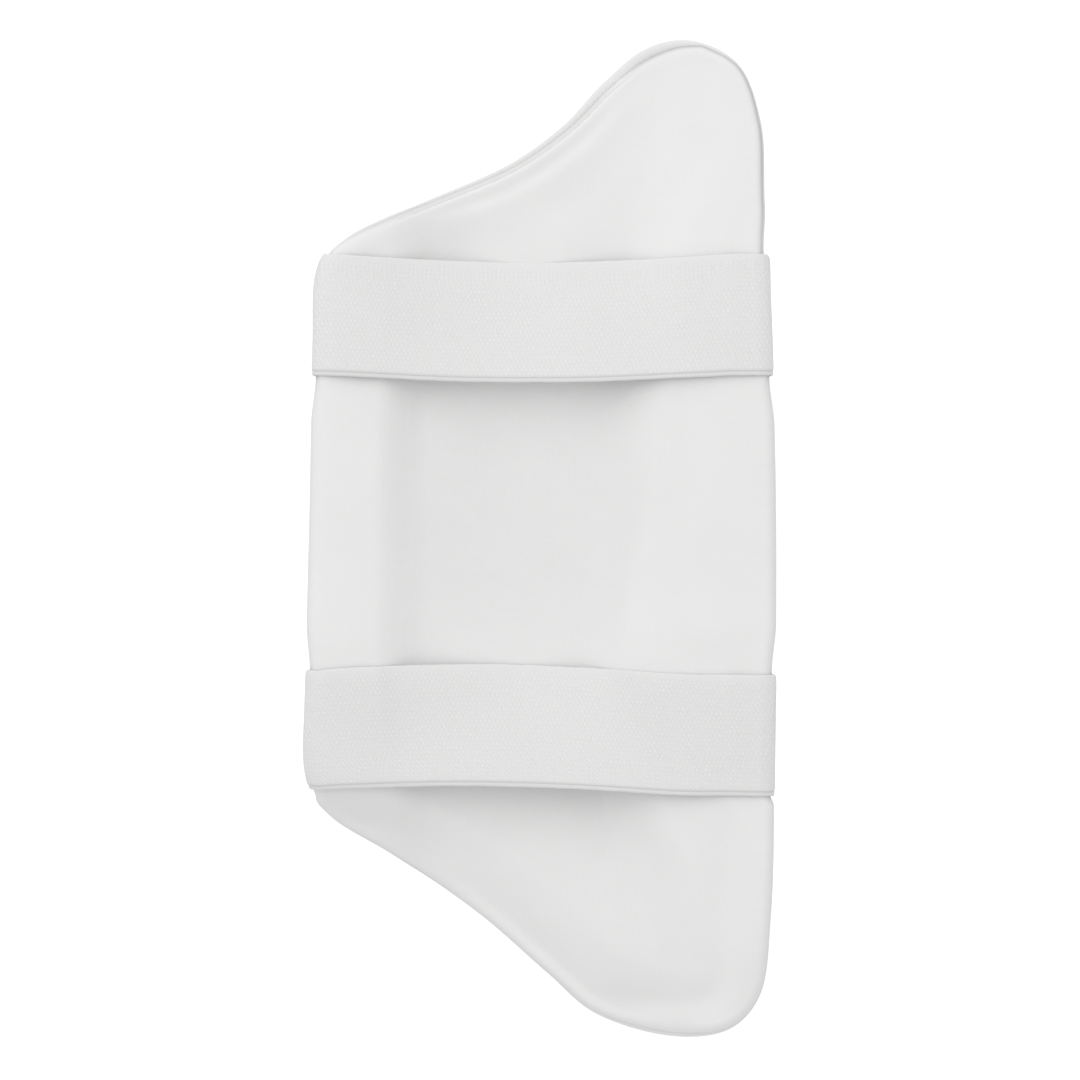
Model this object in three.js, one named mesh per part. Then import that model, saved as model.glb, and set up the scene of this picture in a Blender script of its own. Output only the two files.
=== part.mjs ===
// Thigh pad: a foam guard sewn up from a front and a lining, shaped as a trough for the leg,
// with two wide elastic straps that go round it and lap on the front under a hook tab.
// Millimetres. +X runs from the short side to the long side, +Y runs up the leg and +Z faces
// the leg. The pad lies on its front, so the straps' outer faces are the underside.

import * as THREE from "three";
import { mergeVertices } from "three/addons/utils/BufferGeometryUtils.js";

const { smoothstep, clamp, lerp } = THREE.MathUtils;

// Outline seen from the leg side, from the top down the short side and up the long side.
// seam is how far inside the edge the lining is sewn on.
const OUTLINE = [
  { x: 62, y: 208, seam: 2.6 },
  { x: 44.5, y: 204.8, seam: 4.2 },
  { x: 26, y: 190, seam: 3.6 },
  { x: 10.5, y: 173.3, seam: 2.6 },
  { x: -11.6, y: 157, seam: 2 },
  { x: -48, y: 140.4, seam: 1.4 },
  { x: -82, y: 124.3, seam: 1 },
  { x: -91, y: 114.5, seam: 0.8 },
  { x: -93.8, y: 75, seam: 0.8 },
  { x: -95, y: 20, seam: 0.8 },
  { x: -96.6, y: -55, seam: 0.8 },
  { x: -96.4, y: -102, seam: 0.8 },
  { x: -87.5, y: -115.2, seam: 0.8 },
  { x: -60.7, y: -132, seam: 0.8 },
  { x: -25, y: -157, seam: 0.8 },
  { x: 3.3, y: -181.7, seam: 1 },
  { x: 22.8, y: -198.2, seam: 1.4 },
  { x: 55, y: -207.5, seam: 2 },
  { x: 79.5, y: -203, seam: 1.4 },
  { x: 91, y: -189.5, seam: 0.8 },
  { x: 95.5, y: -155, seam: 0.8 },
  { x: 97, y: -75, seam: 0.8 },
  { x: 97.5, y: 10, seam: 0.8 },
  { x: 95.5, y: 90, seam: 0.8 },
  { x: 93, y: 140, seam: 0.8 },
  { x: 91.5, y: 173.5, seam: 0.8 },
  { x: 82, y: 198, seam: 2 },
];

const HALF_LENGTH = 208;
const HALF_WIDTH = 97;

// The leg side in sections down the leg: the trough's floor, the foot and the lift of the wing on
// the short and the long side, and how far the face drops away to the edge on each side.
const SECTIONS = [
  { y: 205, floor: 24, shortFoot: -40, shortLift: 5, longFoot: 50, longLift: 6,
    shortCrown: -5.5, longCrown: -2 },
  { y: 120, floor: 26, shortFoot: -44, shortLift: 11, longFoot: 34, longLift: 10,
    shortCrown: -5, longCrown: -2 },
  { y: 45, floor: 21, shortFoot: -46, shortLift: 21, longFoot: 21, longLift: 18,
    shortCrown: 1, longCrown: -1 },
  { y: -15, floor: 21, shortFoot: -46, shortLift: 21, longFoot: 18, longLift: 18,
    shortCrown: 1, longCrown: -1 },
  { y: -55, floor: 24, shortFoot: -46, shortLift: 18, longFoot: 16, longLift: 16,
    shortCrown: 1, longCrown: -1 },
  { y: -100, floor: 19.5, shortFoot: -44, shortLift: 15.5, longFoot: 22, longLift: 17,
    shortCrown: 5, longCrown: -1.5 },
  { y: -118, floor: 20, shortFoot: -44, shortLift: 13.5, longFoot: 26, longLift: 16.5,
    shortCrown: 14, longCrown: -1.5 },
  { y: -140, floor: 22, shortFoot: -43, shortLift: 11, longFoot: 36, longLift: 14,
    shortCrown: 12, longCrown: -2 },
  { y: -170, floor: 21.5, shortFoot: -41, shortLift: 10, longFoot: 46, longLift: 12,
    shortCrown: 9, longCrown: -2 },
  { y: -205, floor: 16.5, shortFoot: -40, shortLift: 8, longFoot: 50, longLift: 9,
    shortCrown: 4, longCrown: 0 },
];
// A wing falls gently from its crest to past its foot, and a share of it falls steeply above the
// foot. The crown changes from the short side's to the long side's across the pad.
const SHORT_WING = { crest: -88, steep: 20, past: 40, share: 0.5 };
const LONG_WING = { crest: 80, steep: -30, past: -10, share: 0.6 };
const CROWN = { width: 30, from: 35, to: 80 };
// The front: flat where the pad lies, rising to the sides and a little to both ends.
const FRONT = { flatFrom: -46, flatTo: 40, rise: 27, power: 1.75, endFrom: 122, endRise: 9 };
// The edge: how far the seam is below the lining's top, and how wide each face rolls over.
const LINING_EDGE = { drop: 5, roll: 8, thick: 0.7, gap: 0.3 };
const FRONT_EDGE = { wall: 2.4, roll: 15, least: 3 };
const RIM = { roll: 5, drop: 1.6 };

// The straps: how they run and sag over the trough, with twist as how much more the upper edge sags
// than the lower one, and standOff as how far the lower edge stands off the pad. Then their cloth,
// and how their ends lap on the front.
const STRAPS = [
  { place: "upper", y: 93, bow: -2.6, bowAt: -15, tilt: 0, sag: 5.2, twist: 4, standOff: 0 },
  { place: "lower", y: -79.2, bow: 3, bowAt: -38, tilt: -2, sag: 5.8, twist: 9.6, standOff: 2 },
];
const STRAP = { width: 50, thick: 1.4, gap: 0.35, bed: 3, pinch: 1.9, fade: 8 };
const SPAN = { middle: -6, half: 84, soft: 0.5 };
const LAP = { from: 87, length: 27, ramp: 14 };
const TAB = { width: 44, length: 22, thick: 1.2, gap: 0.3 };

// How finely each piece is faceted.
const EDGE_STEPS = 1200;
const RUNGS = 40;
const SPINE_END = 0.12;
const SEAM_RINGS = [13, 8, 4, 1.4, 0];
const INNER_RINGS = 7;
const SECTION_STEPS = 80;
const BAND = { steps: 64, rows: 6, fine: 480, turnWeight: 18, tabSteps: 6, runStep: 2.5 };

const COVER = new THREE.MeshStandardMaterial({ color: 0xe8e8e6, roughness: 0.85, metalness: 0 });
const LINING = new THREE.MeshStandardMaterial({ color: 0xeaeae8, roughness: 0.9, metalness: 0 });
const ELASTIC = new THREE.MeshStandardMaterial({ color: 0xe6e6e4, roughness: 0.8, metalness: 0 });
const HOOKS = new THREE.MeshStandardMaterial({ color: 0xdcdcd8, roughness: 0.7, metalness: 0 });

// The edge as one closed curve. Its z holds the seam's inset.
const edgeCurve = new THREE.CatmullRomCurve3(
  OUTLINE.map((row) => new THREE.Vector3(row.x, row.y, row.seam)),
  true,
  "centripetal",
);
edgeCurve.arcLengthDivisions = EDGE_STEPS;
const bottomShare = lowestShare(edgeCurve);

function lowestShare(curve) {
  const points = curve.getSpacedPoints(EDGE_STEPS);
  const lowest = points.reduce((best, point, i) => (point.y < points[best].y ? i : best), 0);
  return lowest / EDGE_STEPS;
}

// 1 under a strap, fading to 0 just outside it.
function underStrap(y) {
  const reach = STRAP.width / 2 + STRAP.bed;
  const near = STRAPS.map((strap) => Math.abs(y - strap.y));
  return 1 - smoothstep(Math.min(...near), reach, reach + STRAP.fade);
}

// A point of the edge, moved in by a share of the seam's inset and drawn in under the straps.
function edgePoint(share, seamShare) {
  const point = edgeCurve.getPointAt(share);
  const along = edgeCurve.getTangentAt(share).setZ(0).normalize();
  const inset = point.z * seamShare;
  const x = point.x - along.y * inset;
  const y = point.y + along.x * inset;
  return new THREE.Vector2(x - Math.sign(x) * STRAP.pinch * underStrap(y), y);
}

// Both ends of each rung across the pad, on the edge and on the seam, and its middle on the spine.
function ladder() {
  const rungs = Array.from({ length: RUNGS + 1 }, (_, k) => {
    const shares = [(k / RUNGS) * bottomShare, 1 - (k / RUNGS) * (1 - bottomShare)];
    return shares.map((share) => ({ edge: edgePoint(share, 0), seam: edgePoint(share, 1) }));
  });
  const last = Math.round(RUNGS * SPINE_END);
  rungs.forEach((rung, k) => {
    const [left, right] = rungs[clamp(k, last, RUNGS - last)];
    const middle = left.edge.clone().lerp(right.edge, 0.5);
    rung.forEach((end) => Object.assign(end, { middle }));
  });
  return rungs;
}

// The rungs' ends in order round the edge: down the short side and up the long side.
const rungs = ladder();
const spokes = [...rungs.map((rung) => rung[0]), ...rungs.slice(1, -1).reverse().map((rung) => rung[1])];
const edgeRing = spokes.map((spoke) => spoke.edge);
const seamRing = spokes.map((spoke) => spoke.seam);

function distanceToEdge(x, y, ring) {
  let best = Infinity;
  ring.forEach((a, i) => {
    const b = ring[(i + 1) % ring.length];
    const t = clamp(((x - a.x) * (b.x - a.x) + (y - a.y) * (b.y - a.y)) / a.distanceToSquared(b), 0, 1);
    best = Math.min(best, Math.hypot(x - lerp(a.x, b.x, t), y - lerp(a.y, b.y, t)));
  });
  return best;
}

// A quarter of an ellipse: 0 at the edge and 1 from width inwards.
function roll(distance, width) {
  const t = 1 - clamp(distance / width, 0, 1);
  return Math.sqrt(1 - t * t);
}

// A column of the sections at one height up the leg, on a smooth curve through its rows.
function sectionAt(key, y) {
  const end = SECTIONS.length - 1;
  const row = (k) => SECTIONS[clamp(k, 0, end)];
  const slope = (k) => (row(k + 1)[key] - row(k - 1)[key]) / (row(k + 1).y - row(k - 1).y);
  const i = clamp(SECTIONS.findIndex((section) => section.y < y) - 1, 0, end - 1);
  const k = y < row(end).y ? end - 1 : i;
  const span = row(k + 1).y - row(k).y;
  const t = clamp((y - row(k).y) / span, 0, 1);
  const ease = smoothstep(t, 0, 1);
  const bend = t * (1 - t) * span * ((1 - t) * slope(k) - t * slope(k + 1));
  return lerp(row(k)[key], row(k + 1)[key], ease) + bend;
}

// How far a wing has risen: 1 at its crest and 0 past its foot.
function wingShare(x, foot, wing) {
  const fall = (from, to) => smoothstep((x - from) / (to - from), 0, 1);
  const steep = fall(foot - wing.steep, foot);
  return 1 - lerp(fall(wing.crest, foot + wing.past), steep, wing.share);
}

// Height of the lining over the trough, before its edge rolls over.
function troughHeight(x, y) {
  const short = sectionAt("shortLift", y) * wingShare(x, sectionAt("shortFoot", y), SHORT_WING);
  const long = sectionAt("longLift", y) * wingShare(x, sectionAt("longFoot", y), LONG_WING);
  const across = smoothstep(x, CROWN.from, CROWN.to);
  const crown = lerp(sectionAt("shortCrown", y), sectionAt("longCrown", y), across);
  const out = 1 - clamp(distanceToEdge(x, y, edgeRing) / CROWN.width, 0, 1);
  return sectionAt("floor", y) + short + long - crown * out * out;
}

function frontHeight(x, y) {
  const past = Math.max(FRONT.flatFrom - x, x - FRONT.flatTo, 0);
  const reach = x < 0 ? HALF_WIDTH + FRONT.flatFrom : HALF_WIDTH - FRONT.flatTo;
  const end = clamp((Math.abs(y) - FRONT.endFrom) / (HALF_LENGTH - FRONT.endFrom), 0, 1);
  return FRONT.rise * Math.pow(past / reach, FRONT.power) + FRONT.endRise * end * end;
}

function seamHeight(x, y) {
  return troughHeight(x, y) - LINING_EDGE.drop;
}

function frontFace(x, y) {
  const side = seamHeight(x, y) - FRONT_EDGE.wall - RIM.drop;
  const low = Math.min(frontHeight(x, y), side - FRONT_EDGE.least);
  return lerp(side, low, roll(distanceToEdge(x, y, edgeRing), FRONT_EDGE.roll));
}

function rimFace(x, y) {
  return seamHeight(x, y) - RIM.drop * (1 - roll(distanceToEdge(x, y, edgeRing), RIM.roll));
}

function liningUnder(x, y) {
  return rimFace(x, y) + LINING_EDGE.gap;
}

function liningFace(x, y) {
  const side = liningUnder(x, y) + LINING_EDGE.thick;
  return lerp(side, troughHeight(x, y), roll(distanceToEdge(x, y, seamRing), LINING_EDGE.roll));
}

// A closed solid between two grids of points. A closed grid joins its last row to its first
// and needs a wall only along its outer column; an open one is walled all round.
function solidBetween(top, bottom, closed) {
  const rows = top.length;
  const columns = top[0].length;
  const points = [...top.flat(), ...bottom.flat()];
  const upper = (i, j) => (i % rows) * columns + j;
  const lower = (i, j) => rows * columns + upper(i, j);
  const index = [];
  const quad = (a, b, c, d) => index.push(a, b, c, a, c, d);
  const steps = closed ? rows : rows - 1;
  for (let i = 0; i < steps; i += 1) {
    for (let j = 0; j < columns - 1; j += 1) {
      quad(upper(i, j), upper(i, j + 1), upper(i + 1, j + 1), upper(i + 1, j));
      quad(lower(i, j), lower(i + 1, j), lower(i + 1, j + 1), lower(i, j + 1));
    }
    const j = columns - 1;
    quad(upper(i, j), lower(i, j), lower(i + 1, j), upper(i + 1, j));
    if (!closed) quad(upper(i + 1, 0), lower(i + 1, 0), lower(i, 0), upper(i, 0));
  }
  for (let j = 0; !closed && j < columns - 1; j += 1) {
    const i = rows - 1;
    quad(upper(0, j), lower(0, j), lower(0, j + 1), upper(0, j + 1));
    quad(upper(i, j + 1), lower(i, j + 1), lower(i, j), upper(i, j));
  }
  return welded(points, index);
}

// Equal points become one, and the triangles that close up to a line go.
function welded(points, index) {
  const loose = new THREE.BufferGeometry().setFromPoints(points);
  loose.setIndex(index);
  const geometry = mergeVertices(loose, 1e-4);
  const all = Array.from(geometry.index.array);
  const kept = [];
  for (let i = 0; i < all.length; i += 3) {
    const [a, b, c] = all.slice(i, i + 3);
    if (a !== b && b !== c && c !== a) kept.push(a, b, c);
  }
  geometry.setIndex(kept);
  geometry.computeVertexNormals();
  return geometry;
}

// Half of the pad: rings from the spine out to the seam and on past it, under one face and
// over another.
function padHalf(topFace, bottomFace, pastSeam) {
  const grid = spokes.map(({ middle, seam, edge }) => {
    const reach = middle.distanceTo(seam);
    const inner = reach - SEAM_RINGS[0];
    const rings = Array.from({ length: INNER_RINGS }, (_, i) => (inner * i) / INNER_RINGS);
    rings.push(...SEAM_RINGS.map((from) => reach - from));
    const inside = rings.map((ring) => middle.clone().lerp(seam, ring / reach));
    return [...inside, ...pastSeam.map((share) => seam.clone().lerp(edge, share))];
  });
  const raised = (face) => grid.map((row) => row.map((p) => new THREE.Vector3(p.x, p.y, face(p.x, p.y))));
  return solidBetween(raised(topFace), raised(bottomFace), true);
}

// Convex hull of points in the XZ plane, in order the way the strap runs.
function hull(points) {
  const sorted = [...points].sort((a, b) => a.x - b.x || a.y - b.y);
  const turn = (a, b, c) => (b.x - a.x) * (c.y - a.y) - (b.y - a.y) * (c.x - a.x);
  const chain = (list) => list.reduce((kept, point) => {
    while (kept.length > 1 && turn(kept[kept.length - 2], kept[kept.length - 1], point) <= 0) kept.pop();
    kept.push(point);
    return kept;
  }, []);
  const low = chain(sorted);
  const high = chain(sorted.reverse());
  return [...low.slice(0, -1), ...high.slice(0, -1)].reverse();
}

// Where the edge crosses one height up the leg.
function spanAt(y) {
  const crossings = [];
  edgeRing.forEach((a, i) => {
    const b = edgeRing[(i + 1) % edgeRing.length];
    if (a.y > y !== b.y > y) crossings.push(lerp(a.x, b.x, (y - a.y) / (b.y - a.y)));
  });
  return [Math.min(...crossings), Math.max(...crossings)];
}

// The pad's own section round one height, pulled straight over the trough as a stretched band is.
// The path starts on the front near the long side and runs to the short side.
function bandPath(y) {
  const section = [];
  [y - STRAP.bed, y, y + STRAP.bed].forEach((at) => {
    const [from, to] = spanAt(at);
    for (let i = 0; i <= SECTION_STEPS; i += 1) {
      const x = lerp(from, to, (1 - Math.cos((Math.PI * i) / SECTION_STEPS)) / 2);
      section.push(new THREE.Vector2(x, frontFace(x, at)));
      section.push(new THREE.Vector2(x, Math.max(rimFace(x, at), liningFace(x, at))));
    }
  });
  const ring = hull(section);
  const next = (i) => ring[(i + 1) % ring.length];
  const i = ring.findIndex((p, k) => p.x >= LAP.from && next(k).x < LAP.from);
  const start = ring[i].clone().lerp(next(i), (ring[i].x - LAP.from) / (ring[i].x - next(i).x));
  return new THREE.Path().setFromPoints([start, ...ring.slice(i + 1), ...ring.slice(0, i + 1), start]);
}

// Where the band is and which way it runs, at a distance along its path.
function onPath(path, along) {
  const length = path.getLength();
  const at = (s) => path.getPointAt((((s % length) + length) % length) / length);
  const run = at(along + BAND.runStep).sub(at(along - BAND.runStep)).normalize();
  return { point: at(along), run };
}

// Distances along the path for the band's facets, closer together where it turns round an edge.
function bandStops(path, to) {
  const step = to / BAND.fine;
  const measure = [0];
  for (let i = 1; i <= BAND.fine; i += 1) {
    const turn = onPath(path, step * (i - 1)).run.angleTo(onPath(path, step * i).run);
    measure.push(measure[i - 1] + step + BAND.turnWeight * Math.abs(turn));
  }
  return Array.from({ length: BAND.steps + 1 }, (_, k) => {
    const aim = (measure[BAND.fine] * k) / BAND.steps;
    const i = clamp(measure.findIndex((m) => m >= aim), 1, BAND.fine);
    return step * (i - 1 + (aim - measure[i - 1]) / (measure[i] - measure[i - 1]));
  });
}

// A point of the band, lifted off the pad, sagging over the trough down to the lining, and bowed
// towards the middle of the pad there.
function bandPoint(row, along, lift) {
  const { point, run } = onPath(row.path, along);
  const across = run.x > 0.6 ? Math.max(0, 1 - ((point.x - SPAN.middle) / SPAN.half) ** 2) : 0;
  const bowed = run.x > 0.6 ? Math.max(0, 1 - ((point.x - row.bowAt) / HALF_WIDTH) ** 2) : 0;
  const x = point.x - run.y * lift;
  const y = row.y + row.bow * bowed * Math.sqrt(across) + (row.tilt * point.x) / (2 * HALF_WIDTH);
  const z = point.y + run.x * lift;
  const sag = (row.sag + (row.twist * row.offset) / STRAP.width) * across;
  const hung = z - sag + row.standOff * smoothstep(-row.offset, 5, STRAP.width / 2);
  const lying = liningFace(x, y) + lift;
  const higher = (hung + lying + Math.sqrt((hung - lying) ** 2 + SPAN.soft)) / 2;
  return new THREE.Vector3(x, y, lerp(z, higher, smoothstep(run.x, 0.6, 0.95)));
}

// A band of cloth along the strap's path, between two lifts off the pad.
function band(strap, width, stopsOn, inner, outer) {
  const rows = Array.from({ length: BAND.rows }, (_, j) => {
    const offset = width * (j / (BAND.rows - 1) - 0.5);
    const y = strap.y + offset;
    const path = bandPath(y);
    return { ...strap, y, offset, path, length: path.getLength(), stops: stopsOn(path) };
  });
  const face = (lift) => rows[0].stops.map((_, i) => (
    rows.map((row) => bandPoint(row, row.stops[i], lift(row.stops[i], row.length)))));
  return solidBetween(face(inner), face(outer), false);
}

function strapBand(strap) {
  const over = STRAP.thick + TAB.thick + 2 * TAB.gap;
  const inner = (along, length) => STRAP.gap + over * smoothstep(along, length - LAP.ramp, length - 2);
  const outer = (along, length) => inner(along, length) + STRAP.thick;
  const stopsOn = (path) => bandStops(path, path.getLength() + LAP.length);
  return band(strap, STRAP.width, stopsOn, inner, outer);
}

function hookTab(strap) {
  const inner = () => STRAP.gap + STRAP.thick + TAB.gap;
  const outer = () => inner() + TAB.thick;
  const from = (LAP.length - TAB.length) / 2;
  const step = TAB.length / BAND.tabSteps;
  const stops = Array.from({ length: BAND.tabSteps + 1 }, (_, i) => from + step * i);
  return band(strap, TAB.width, () => stops, inner, outer);
}

function piece(name, geometry, material) {
  const mesh = new THREE.Mesh(geometry, material);
  mesh.name = name;
  return mesh;
}

const pad = new THREE.Group();
pad.name = "pad";
pad.add(piece("front_pad", padHalf(rimFace, frontFace, [0.5, 1]), COVER));
pad.add(piece("back_panel", padHalf(liningFace, liningUnder, []), LINING));

const straps = new THREE.Group();
straps.name = "straps";
STRAPS.forEach((strap) => {
  straps.add(piece(`${strap.place}_strap`, strapBand(strap), ELASTIC));
  straps.add(piece(`${strap.place}_hook_tab`, hookTab(strap), HOOKS));
});

// The origin is under the middle of the whole, where it lies.
const thighPad = new THREE.Group();
thighPad.name = "thigh_pad";
thighPad.add(pad, straps);
const extent = new THREE.Box3().setFromObject(thighPad);
const centre = extent.getCenter(new THREE.Vector3());
thighPad.position.set(-centre.x, -centre.y, -extent.min.z);

export default thighPad;
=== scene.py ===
from collections import namedtuple

import bpy
import numpy as np
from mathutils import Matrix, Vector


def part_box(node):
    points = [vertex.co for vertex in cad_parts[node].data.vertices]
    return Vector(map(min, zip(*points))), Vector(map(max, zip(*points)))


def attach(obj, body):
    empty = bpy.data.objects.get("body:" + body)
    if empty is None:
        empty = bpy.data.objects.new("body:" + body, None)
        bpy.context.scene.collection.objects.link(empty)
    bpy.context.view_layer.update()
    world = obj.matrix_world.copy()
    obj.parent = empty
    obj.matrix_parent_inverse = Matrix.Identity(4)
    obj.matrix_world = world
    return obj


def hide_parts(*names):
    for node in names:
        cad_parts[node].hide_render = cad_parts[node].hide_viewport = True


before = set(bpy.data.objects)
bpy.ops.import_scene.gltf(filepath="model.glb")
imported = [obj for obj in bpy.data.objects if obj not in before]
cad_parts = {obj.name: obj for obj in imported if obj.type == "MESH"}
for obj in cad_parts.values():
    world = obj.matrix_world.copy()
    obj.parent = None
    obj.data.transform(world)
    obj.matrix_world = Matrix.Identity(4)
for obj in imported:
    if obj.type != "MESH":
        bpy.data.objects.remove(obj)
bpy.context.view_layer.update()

# Front pad: the guard's outer half, a moulded foam plate in a smooth white stretch cover.
# It is flat where it lies and turns up along both sides. The cover is drawn over the edge to the
# leg side, where the lining is sewn to it.

MM = 0.001
# The edge seen from the leg side, from the top down the short side and up the long side:
# across, up the leg, and how far inside it the lining's seam runs.
EDGE = [
    (62, 208, 2.6), (44.5, 204.8, 4.2), (26, 190, 3.6), (10.5, 173.3, 2.6), (-11.6, 157, 2),
    (-48, 140.4, 1.4), (-82, 124.3, 1), (-91, 114.5, 0.8), (-93.8, 75, 0.8), (-95, 20, 0.8),
    (-96.6, -55, 0.8), (-96.4, -102, 0.8), (-87.5, -115.2, 0.8), (-60.7, -132, 0.8),
    (-25, -157, 0.8), (3.3, -181.7, 1), (22.8, -198.2, 1.4), (55, -207.5, 2), (79.5, -203, 1.4),
    (91, -189.5, 0.8), (95.5, -155, 0.8), (97, -75, 0.8), (97.5, 10, 0.8), (95.5, 90, 0.8),
    (93, 140, 0.8), (91.5, 173.5, 0.8), (82, 198, 0.9),
]
HALF_LENGTH, HALF_WIDTH = 208, 97
# The seam's small point at the top: its place, how far in and how wide the seam dips beside it, and
# how far out and how wide the point itself is.
POINT_X, POINT_Y = 68, 207
POINT_DIP, POINT_DIP_WIDTH, POINT_REACH, POINT_WIDTH = 0.7, 16, 1.5, 6
# The leg side in sections up the leg: the trough's floor, the foot and the lift of the wing on the
# short side and on the long side, and how far the face drops away to the edge on each side.
UP, FLOOR, SHORT_FOOT, SHORT_LIFT, LONG_FOOT, LONG_LIFT, SHORT_CROWN, LONG_CROWN = range(8)
SECTIONS = np.array([
    (-205, 16.5, -40, 8, 50, 9, 4, 0),
    (-170, 21.5, -41, 10, 46, 12, 9, -2),
    (-140, 22, -43, 11, 36, 14, 12, -2),
    (-118, 20, -44, 13.5, 26, 16.5, 14, -1.5),
    (-100, 19.5, -44, 15.5, 22, 17, 5, -1.5),
    (-55, 24, -48, 18, 16, 16, 1, -1),
    (-15, 21, -48, 21, 18, 18, 1, -1),
    (45, 21, -48, 21, 21, 18, 1, -1),
    (120, 26, -44, 11, 34, 10, -5, -2),
    (205, 24, -40, 5, 50, 6, -5.5, -2),
], float)
# A wing falls gently from its crest to past its foot, and part of the way steeply above its foot:
# its crest, how wide the steep part is, how far past the foot the rest goes, the steep part's share.
SHORT_WING = (-88, 20, 40, 0.5)
LONG_WING = (80, -30, -10, 0.6)
CROWN_WIDTH, CROWN_FROM, CROWN_TO = 30, 35, 80
# How far down the leg the drop to the edge becomes an S, which is level again at the edge.
LEVEL_FROM, LEVEL_TO = 90, 112
SEAM_DROP, RIM_ROLL, RIM_DROP = 5, 5, 1.6
# The front: where its flat ends on the short side, on the long side and towards both ends, how far
# the sides and the ends rise from there, how sharply the sides bend, how thick the pad's edge is,
# how far below that the front lies at the least, and how wide its own edge rolls.
FLAT_SHORT, FLAT_LONG, FLAT_END = -46, 40, 122
SIDE_RISE, END_RISE, SIDE_BEND = 27, 9, 1.75
EDGE_THICK, LEAST_BELOW, FRONT_ROLL = 2.4, 3, 15
STRAP_AT = {"upper": 93, "lower": -79.2}
STRAP_WIDTH, STRAP_BED, STRAP_PINCH = 50, 0.6, 1.6
SPOKES, SPINE_END, RINGS, PAST_SEAM = 720, 42, 60, (0.3, 0.55, 0.75, 0.88, 0.96, 1)
RING_CROWDING = 1.5


def ease(value, low, high):
    t = np.clip((value - low) / (high - low), 0, 1)
    return t * t * (3 - 2 * t)


def smooth_loop(rows, fine=60):
    """A smooth closed line through the rows, as many points."""
    p = np.array(rows, float)
    line = []
    for i in range(len(p)):
        a, b, c, d = (p[(i + k) % len(p)] for k in (-1, 0, 1, 2))
        ta, tb, tc = (np.linalg.norm(v) ** 0.5 for v in (b - a, c - b, d - c))
        t = np.linspace(0, tb, fine, endpoint=False)[:, None]
        ab = b + (b - a) * t / ta
        bc = b + (c - b) * t / tb
        cd = c + (d - c) * (t - tb) / tc
        left = ab + (bc - ab) * (t + ta) / (ta + tb)
        right = bc + (cd - bc) * t / (tb + tc)
        line.append(left + (right - left) * t / tb)
    return np.concatenate(line)


def spaced(line, count):
    """Points evenly spaced along a line, from its first to its last."""
    steps = np.linalg.norm(np.diff(line[:, :2], axis=0), axis=1)
    along = np.concatenate([[0], np.cumsum(steps)])
    wanted = np.linspace(0, along[-1], count)
    return np.stack([np.interp(wanted, along, line[:, k]) for k in range(line.shape[1])], 1)


def under_strap(up, spare=STRAP_BED, fade=20, fade_below=5):
    """1 under a strap and for a little beside it, fading to 0, sooner below the lower strap."""
    near = np.min([np.abs(up - at) for at in STRAP_AT.values()], axis=0) - STRAP_WIDTH / 2 - spare
    return 1 - ease(near, 0, np.where(up < STRAP_AT["lower"], fade_below, fade))


def drawn_in(points):
    """Points of the edge, drawn in where the straps pull round it."""
    out = points[:, :2].copy()
    out[:, 0] -= np.sign(out[:, 0]) * STRAP_PINCH * under_strap(out[:, 1])
    return out


# Rungs run across the pad from the short side to the long side. Half of each rung is a spoke, from
# the pad's middle line out to the seam and on to the edge.
loop = smooth_loop(EDGE)
lowest = int(np.argmin(loop[:, 1]))
half = SPOKES // 2
short_side = spaced(loop[: lowest + 1], half + 1)
long_side = spaced(np.concatenate([loop[lowest:], loop[:1]]), half + 1)
around = np.concatenate([short_side, long_side[1:-1]])
heading = np.roll(around, -1, 0) - np.roll(around, 1, 0)
heading = heading[:, :2] / np.linalg.norm(heading[:, :2], axis=1)[:, None]
inward = np.stack([-heading[:, 1], heading[:, 0]], 1)
edge_ring = drawn_in(around)
from_point = np.hypot(around[:, 0] - POINT_X, around[:, 1] - POINT_Y)
inset = around[:, 2] + POINT_DIP * np.exp(-((from_point / POINT_DIP_WIDTH) ** 2))
inset = inset - POINT_REACH * np.exp(-from_point / POINT_WIDTH)
seam_ring = drawn_in(around[:, :2] + inward * inset[:, None])
rung = np.concatenate([np.arange(half + 1), np.arange(half - 1, 0, -1)])
middles = (edge_ring[: half + 1] + np.concatenate([edge_ring[:1], edge_ring[: half - 1 : -1]])) / 2
middle_ring = middles[np.clip(rung, SPINE_END, half - SPINE_END)]


def spoke_grid(rings, past=()):
    """Points from the middle line to the seam, closest together there, and on past it."""
    shares = 1 - (1 - np.linspace(0, 1, rings + 1)) ** RING_CROWDING
    inside = middle_ring[:, None] + (seam_ring - middle_ring)[:, None] * shares[None, :, None]
    outside = [seam_ring + (edge_ring - seam_ring) * share for share in past]
    return np.concatenate([inside, np.stack(outside, 1)], 1) if past else inside


def line_distance(x, y, ring, batch=3000):
    """How far each point is from a closed line."""
    points = np.stack([np.ravel(x), np.ravel(y)], 1)
    run = np.roll(ring, -1, 0) - ring
    best = np.empty(len(points))
    for i in range(0, len(points), batch):
        part = points[i : i + batch, None] - ring[None]
        share = np.clip((part * run).sum(2) / (run * run).sum(1), 0, 1)
        best[i : i + batch] = np.linalg.norm(part - share[..., None] * run, axis=2).min(1)
    return best.reshape(np.shape(x))


Spot = namedtuple("Spot", "x y edge seam")


def spots(grid):
    """Places on the pad, each with its distance from the edge and from the seam."""
    x, y = grid[..., 0], grid[..., 1]
    return Spot(x, y, line_distance(x, y, edge_ring), line_distance(x, y, seam_ring))


def rolled(distance, width):
    """A quarter of an ellipse, from 0 at an edge to 1 at a width inside it."""
    return np.sqrt(1 - (1 - np.clip(distance / width, 0, 1)) ** 2)


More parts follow.
